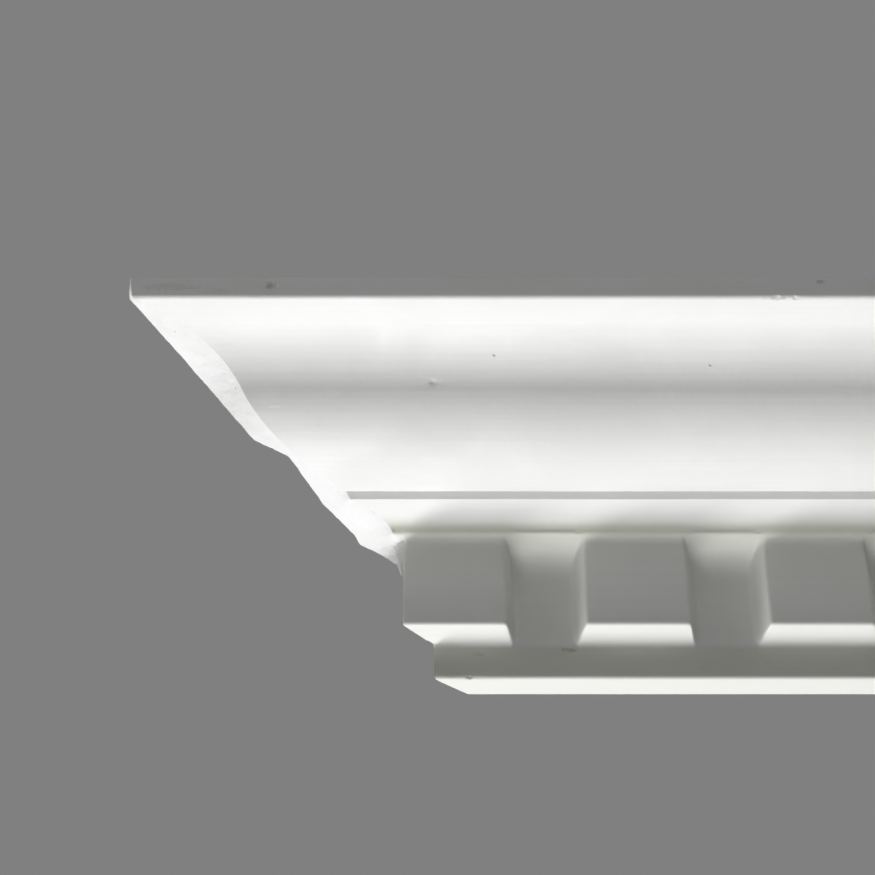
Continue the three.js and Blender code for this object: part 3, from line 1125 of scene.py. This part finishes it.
def cast_plaster(groups, at):
    """The moulded face: smooth, faintly clouded, with small air holes, drag lines, handling marks, and
    painted shade at the foot, in the bed mould and in the air holes.
    """
    looks = settings("cornice_plaster")
    plaster = Plaster("cast plaster", groups, looks.cast_roughness)
    tree = plaster.tree
    clouds = plaster.clouds(size=1.0)
    holes = plaster.holes(spacing=1.0, radius=1.0, kept=0.25)
    lines = plaster.effect("drag", Length=0.11, Pitch=0.0016)
    height = add_node(tree, "ShaderNodeSeparateXYZ", {"Vector": plaster.place}).outputs["Z"]
    # Painted shade: the lower fascia is painted darker and greyer towards its foot.
    foot = shaded_foot(tree, height, looks)
    tone = maths(tree, "ADD", maths(tree, "MULTIPLY", clouds, 0.3), maths(tree, "MULTIPLY", foot, 0.7))
    tone = maths(tree, "ADD", tone, fade(tree, lines, 0.4, 0.75, 0.0, 0.15))
    base = blend_colour(tree, maths(tree, "MINIMUM", tone, 1.0), looks.cast, looks.shade)
    # Painted shade: the foot is darkened further with the grime colour.
    base = tint(tree, base, foot, looks.grime_and_shade, share=0.16)
    # Painted shade in the bed mould, darker and yellower, and a slight darker yellow tint on the dentil
    # course.
    base = blend_colour(tree, bed_shade_and_yellowing(tree, height, looks, at), base, looks.yellowed_shade)
    # Painted shade and dirt: the air holes are painted darker.
    base = tint(tree, base, holes, looks.grime_and_shade, share=0.15)
    normal = bump(tree, plaster.grain(size=1.0), distance=0.00007)
    normal = bump(tree, lines, distance=0.00005, normal=normal)
    normal = sink(tree, holes, depth=0.0005, normal=normal)
    for centre, reach, share, depth in MARKS:
        sockets = {"Centre": Vector(centre) * MILLIMETRE, "Reach": Vector(reach) * MILLIMETRE}
        mask = plaster.effect("mark", **sockets)
        base = tint(tree, base, mask, looks.grime_and_shade if share > 0 else WHITE, abs(share))
        if depth:
            normal = sink(tree, mask, depth * MILLIMETRE, normal)
    return plaster.finish(base, normal, clouds, smoother=0.04, rougher=0.1)


def sawn_plaster(groups):
    """Sawn and trimmed faces: whiter, open grained and quite matt."""
    looks = settings("cornice_plaster")
    plaster = Plaster("sawn plaster", groups, looks.sawn_roughness)
    tree = plaster.tree
    clouds = plaster.clouds(size=0.3)
    holes = plaster.holes(spacing=0.35, radius=0.6, kept=0.6)
    base = tint(tree, looks.sawn, clouds, looks.shade, share=0.25)
    # Painted shade and dirt: the air holes are painted darker.
    base = tint(tree, base, holes, looks.grime_and_shade, share=0.25)
    normal = bump(tree, plaster.grain(size=2.2), distance=0.0006)
    normal = bump(tree, plaster.grain(size=0.8), distance=0.0003, normal=normal)
    normal = sink(tree, holes, depth=0.0005, normal=normal)
    return plaster.finish(base, normal, clouds, smoother=0.05, rougher=0.05)


def struck_plaster(groups):
    """The back, struck off level while the plaster set: greyer, with drag lines and open air holes."""
    looks = settings("cornice_plaster")
    plaster = Plaster("struck back", groups, looks.back_roughness)
    tree = plaster.tree
    clouds = plaster.clouds(size=1.6)
    lines = plaster.effect("drag", Length=0.16, Pitch=0.0028)
    holes = plaster.holes(spacing=0.6, radius=1.6, kept=0.6)
    tone = maths(tree, "ADD", maths(tree, "MULTIPLY", clouds, 0.6), fade(tree, lines, 0.4, 0.7, 0.0, 0.4))
    base = blend_colour(tree, maths(tree, "MINIMUM", tone, 1.0), looks.back, looks.back_shade)
    # Painted shade and dirt: the air holes are painted darker.
    base = tint(tree, base, holes, looks.grime_and_shade, share=0.5)
    normal = bump(tree, lines, distance=0.0006)
    normal = bump(tree, plaster.grain(size=2.0), distance=0.0004, normal=normal)
    normal = sink(tree, holes, depth=0.0012, normal=normal)
    return plaster.finish(base, normal, clouds, smoother=0.0, rougher=0.1)


def finish_faces(casting, at):
    """Gives each face the plaster of its kind: cast, sawn or struck off."""
    groups = {
        "grain": grain_group(),
        "holes": air_hole_group(),
        "clouds": cloud_group(),
        "drag": drag_group(),
        "mark": mark_group(),
    }
    for material in (cast_plaster(groups, at), sawn_plaster(groups), struck_plaster(groups)):
        casting.data.materials.append(material)
    mitre = at["corner_x"] + at["projection"]
    outward = Vector((-1, 1, 0)).normalized()

    def is_sawn(face):
        centre = face.calc_center_median()
        past_mitre = mitre - (centre.x - centre.y)
        on_lip = past_mitre > 0.08 * MILLIMETRE
        on_mitre_face = face.normal.dot(outward) > 0.97 and past_mitre > -0.3 * MILLIMETRE
        on_square_end = face.normal.x > 0.99 and centre.x > HIGH.x - MILLIMETRE
        return on_lip or on_mitre_face or on_square_end

    def is_struck(face):
        at_back = face.normal.y > 0.3 and face.normal.x > -0.5
        on_top = face.normal.z > 0.9 and face.calc_center_median().z > at["ceiling"] - MILLIMETRE
        return at_back or on_top

    for slot, test in ((2, is_struck), (1, is_sawn)):
        edit(casting)
        pick(test, "faces")
        casting.active_material_index = slot
        bpy.ops.object.material_slot_assign()
    deselect()


class CORNICE_OT_casting(bpy.types.Operator):
    """Models the whole casting as one piece"""

    bl_idname = "cornice.casting"
    bl_label = "Plaster cornice"

    def execute(self, context):
        at = levels()
        bay = model_bay(at)
        end = model_mitred_end(bay, at)
        lip = model_lip(at)
        roughen_lip(lip)
        casting = join_casting(bay, end, lip, at)
        make_uneven(casting, at)
        for centre, radius, depth, push in BLEMISHES:
            place = Vector(centre) * MILLIMETRE
            inward = Vector(push).normalized()
            model_blemish(casting, place, radius * MILLIMETRE, depth * MILLIMETRE, inward)
        finish_faces(casting, at)
        choose(casting)
        bpy.ops.object.shade_smooth_by_angle(angle=settings("cornice_finish").smooth_angle)
        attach(casting, "root")
        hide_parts("cornice")
        return {"FINISHED"}


def soft_light(name, watts, width, depth, place, target):
    """A soft rectangular light that looks at a point and doesn't show itself."""
    deselect()
    bpy.ops.object.light_add(type="AREA", location=place)
    light = bpy.context.object
    light.name = name
    light.data.shape = "RECTANGLE"
    light.data.size = width
    light.data.size_y = depth
    light.data.energy = watts
    light.rotation_mode = "QUATERNION"
    light.rotation_quaternion = (Vector(target) - Vector(place)).to_track_quat("-Z", "Y")
    light.visible_camera = False


def room_light(studio):
    """Even light from all sides, behind a plain mid grey backdrop."""
    world = bpy.data.worlds.new("room")
    bpy.context.scene.world = world
    world.use_nodes = True
    nodes = world.node_tree.nodes
    links = world.node_tree.links
    background = nodes["Background"]
    path = nodes.new("ShaderNodeLightPath")
    mix = nodes.new("ShaderNodeMix")
    mix.inputs[2].default_value = studio.ambient
    mix.inputs[3].default_value = studio.backdrop
    links.new(path.outputs["Is Camera Ray"], mix.inputs[0])
    links.new(mix.outputs[0], background.inputs["Strength"])
    background.inputs["Color"].default_value = (*WHITE, 1)


def pale_floor(studio):
    """A plain pale floor that doesn't light the object above it."""
    material = bpy.data.materials.new("pale floor")
    material.use_nodes = True
    tree = material.node_tree
    shader = tree.nodes["Principled BSDF"]
    shader.inputs["Base Color"].default_value = (0.7, 0.7, 0.7, 1)
    shader.inputs["Roughness"].default_value = 0.9
    shader.inputs["Emission Color"].default_value = (*WHITE, 1)
    seen = add_node(tree, "ShaderNodeLightPath").outputs["Is Camera Ray"]
    tree.links.new(maths(tree, "MULTIPLY", seen, studio.floor_glow), shader.inputs["Emission Strength"])
    return material


def add_floor(studio):
    """The floor under the object."""
    deselect()
    bpy.ops.mesh.primitive_plane_add(size=FLOOR_SIDE, location=(0, 0, -studio.floor_drop))
    floor = bpy.context.object
    floor.name = "studio_floor"
    floor.data.materials.append(pale_floor(studio))


def add_camera(studio, at):
    """A camera that looks up at the face and has the front top corner where the photograph has it."""
    corner = Vector((at["corner_x"], -at["projection"], at["ceiling"]))
    aim = Vector((0, math.cos(studio.elevation), math.sin(studio.elevation)))
    up = Vector((0, -math.sin(studio.elevation), math.cos(studio.elevation)))
    deselect()
    bpy.ops.object.camera_add()
    camera = bpy.context.object
    camera.data.sensor_width = 36
    camera.data.lens = studio.focal
    half = IMAGE_SIDE / 2
    focal_pixels = studio.focal * IMAGE_SIDE / camera.data.sensor_width
    across = Vector((1, 0, 0)) * (CORNER_PIXEL[0] - half) / focal_pixels
    rise = up * (half - CORNER_PIXEL[1]) / focal_pixels
    camera.location = corner - (aim + across + rise) * studio.distance
    camera.rotation_mode = "QUATERNION"
    camera.rotation_quaternion = aim.to_track_quat("-Z", "Y")
    bpy.context.scene.camera = camera


class CORNICE_OT_stage(bpy.types.Operator):
    """Sets the floor, the lights and the camera"""

    bl_idname = "cornice.stage"
    bl_label = "Studio"

    def execute(self, context):
        studio = settings("cornice_studio")
        at = levels()
        add_floor(studio)
        add_camera(studio, at)
        context.scene.view_settings.view_transform = "Standard"
        room_light(studio)
        shown = Vector((at["corner_x"] + SHOWN_FROM_CORNER, 0, 0))
        for target, lights in ((shown, SHOWN_LIGHTS), (Vector(), WHOLE_LIGHTS)):
            for name, width, depth, away in lights:
                watts = getattr(studio, name + "_watts")
                soft_light(name, watts, width, depth, target + Vector(away), target)
        return {"FINISHED"}


class CORNICE_PT_panel(bpy.types.Panel):
    """Lists what the cornice is made of"""

    bl_idname = "CORNICE_PT_panel"
    bl_label = "Plaster cornice"
    bl_space_type = "VIEW_3D"
    bl_region_type = "UI"
    bl_category = "Cornice"

    def draw(self, context):
        for operator in OPERATORS:
            self.layout.operator(operator.bl_idname)


OPERATORS = (CORNICE_OT_casting, CORNICE_OT_stage)


def register():
    for group in GROUPS.values():
        bpy.utils.register_class(group)
    for name, group in GROUPS.items():
        setattr(bpy.types.Scene, name, PointerProperty(type=group))
    for cls in (*OPERATORS, CORNICE_PT_panel):
        bpy.utils.register_class(cls)


def unregister():
    for cls in (CORNICE_PT_panel, *reversed(OPERATORS)):
        bpy.utils.unregister_class(cls)
    for name, group in GROUPS.items():
        delattr(bpy.types.Scene, name)
        bpy.utils.unregister_class(group)


def main():
    register()
    bpy.ops.cornice.casting()
    bpy.ops.cornice.stage()


if __name__ == "__main__":
    main()
